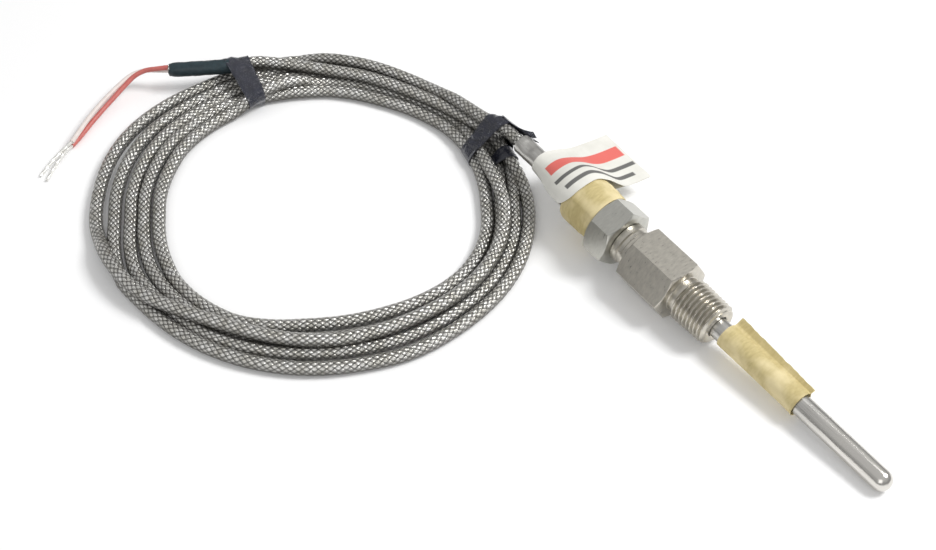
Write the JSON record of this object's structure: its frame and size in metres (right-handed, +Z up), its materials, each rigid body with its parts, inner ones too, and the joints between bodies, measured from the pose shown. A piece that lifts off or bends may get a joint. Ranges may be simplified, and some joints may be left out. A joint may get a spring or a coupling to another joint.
{
  "type": "thermocouple probe",
  "caption": "Straight sheathed thermocouple probe with a taper-thread compression fitting, a folded paper label and a coiled metal-braided lead with stripped wires.",
  "frame": {"origin": "on the surface that the probe lies on, under the middle of the rigid probe's box, which holds everything but the lead, its coil and what is on them", "axes": "+X level along the probe towards its closed tip, +Y level to its left seen from the lead's end towards the tip, +Z up; the probe's own axis rises 4.1 degrees towards the lead"},
  "size_m": [0.2662, 0.1519, 0.0214],
  "materials": {
    "polished_steel": "satin, polished at the tip",
    "satin_steel": "satin",
    "ferrule_steel": "smooth turned",
    "ceramic": "matte",
    "potting": "matte",
    "thermoelement": "drawn wire",
    "masking_tape": "crepe, matte",
    "paper": "matte",
    "braid": "braided wire",
    "shrink_sleeve": "satin",
    "tie_film": "gloss",
    "red_insulation": "satin",
    "white_insulation": "satin"
  },
  "bodies": {
    "root": {"sheath_tube": "polished_steel", "positive_element": "thermoelement", "negative_element": "thermoelement", "junction_bead": "thermoelement", "insulator_1": "ceramic", "insulator_2": "ceramic", "insulator_3": "ceramic", "insulator_4": "ceramic", "insulator_5": "ceramic", "potting_plug": "potting", "fitting_body": "satin_steel", "gland_nut": "satin_steel", "front_ferrule": "ferrule_steel", "back_ferrule": "ferrule_steel", "neck_tape": "masking_tape", "rod_tape": "masking_tape", "paper_label": "paper", "lead_start": "braid", "lead_coil": "braid", "lead_end": "braid", "end_sleeve": "shrink_sleeve", "red_wire": "red_insulation", "white_wire": "white_insulation", "red_bare_end": "thermoelement", "white_bare_end": "thermoelement", "coil_tie_left": "tie_film", "coil_tie_right": "tie_film"}
  },
  "joints": []
}
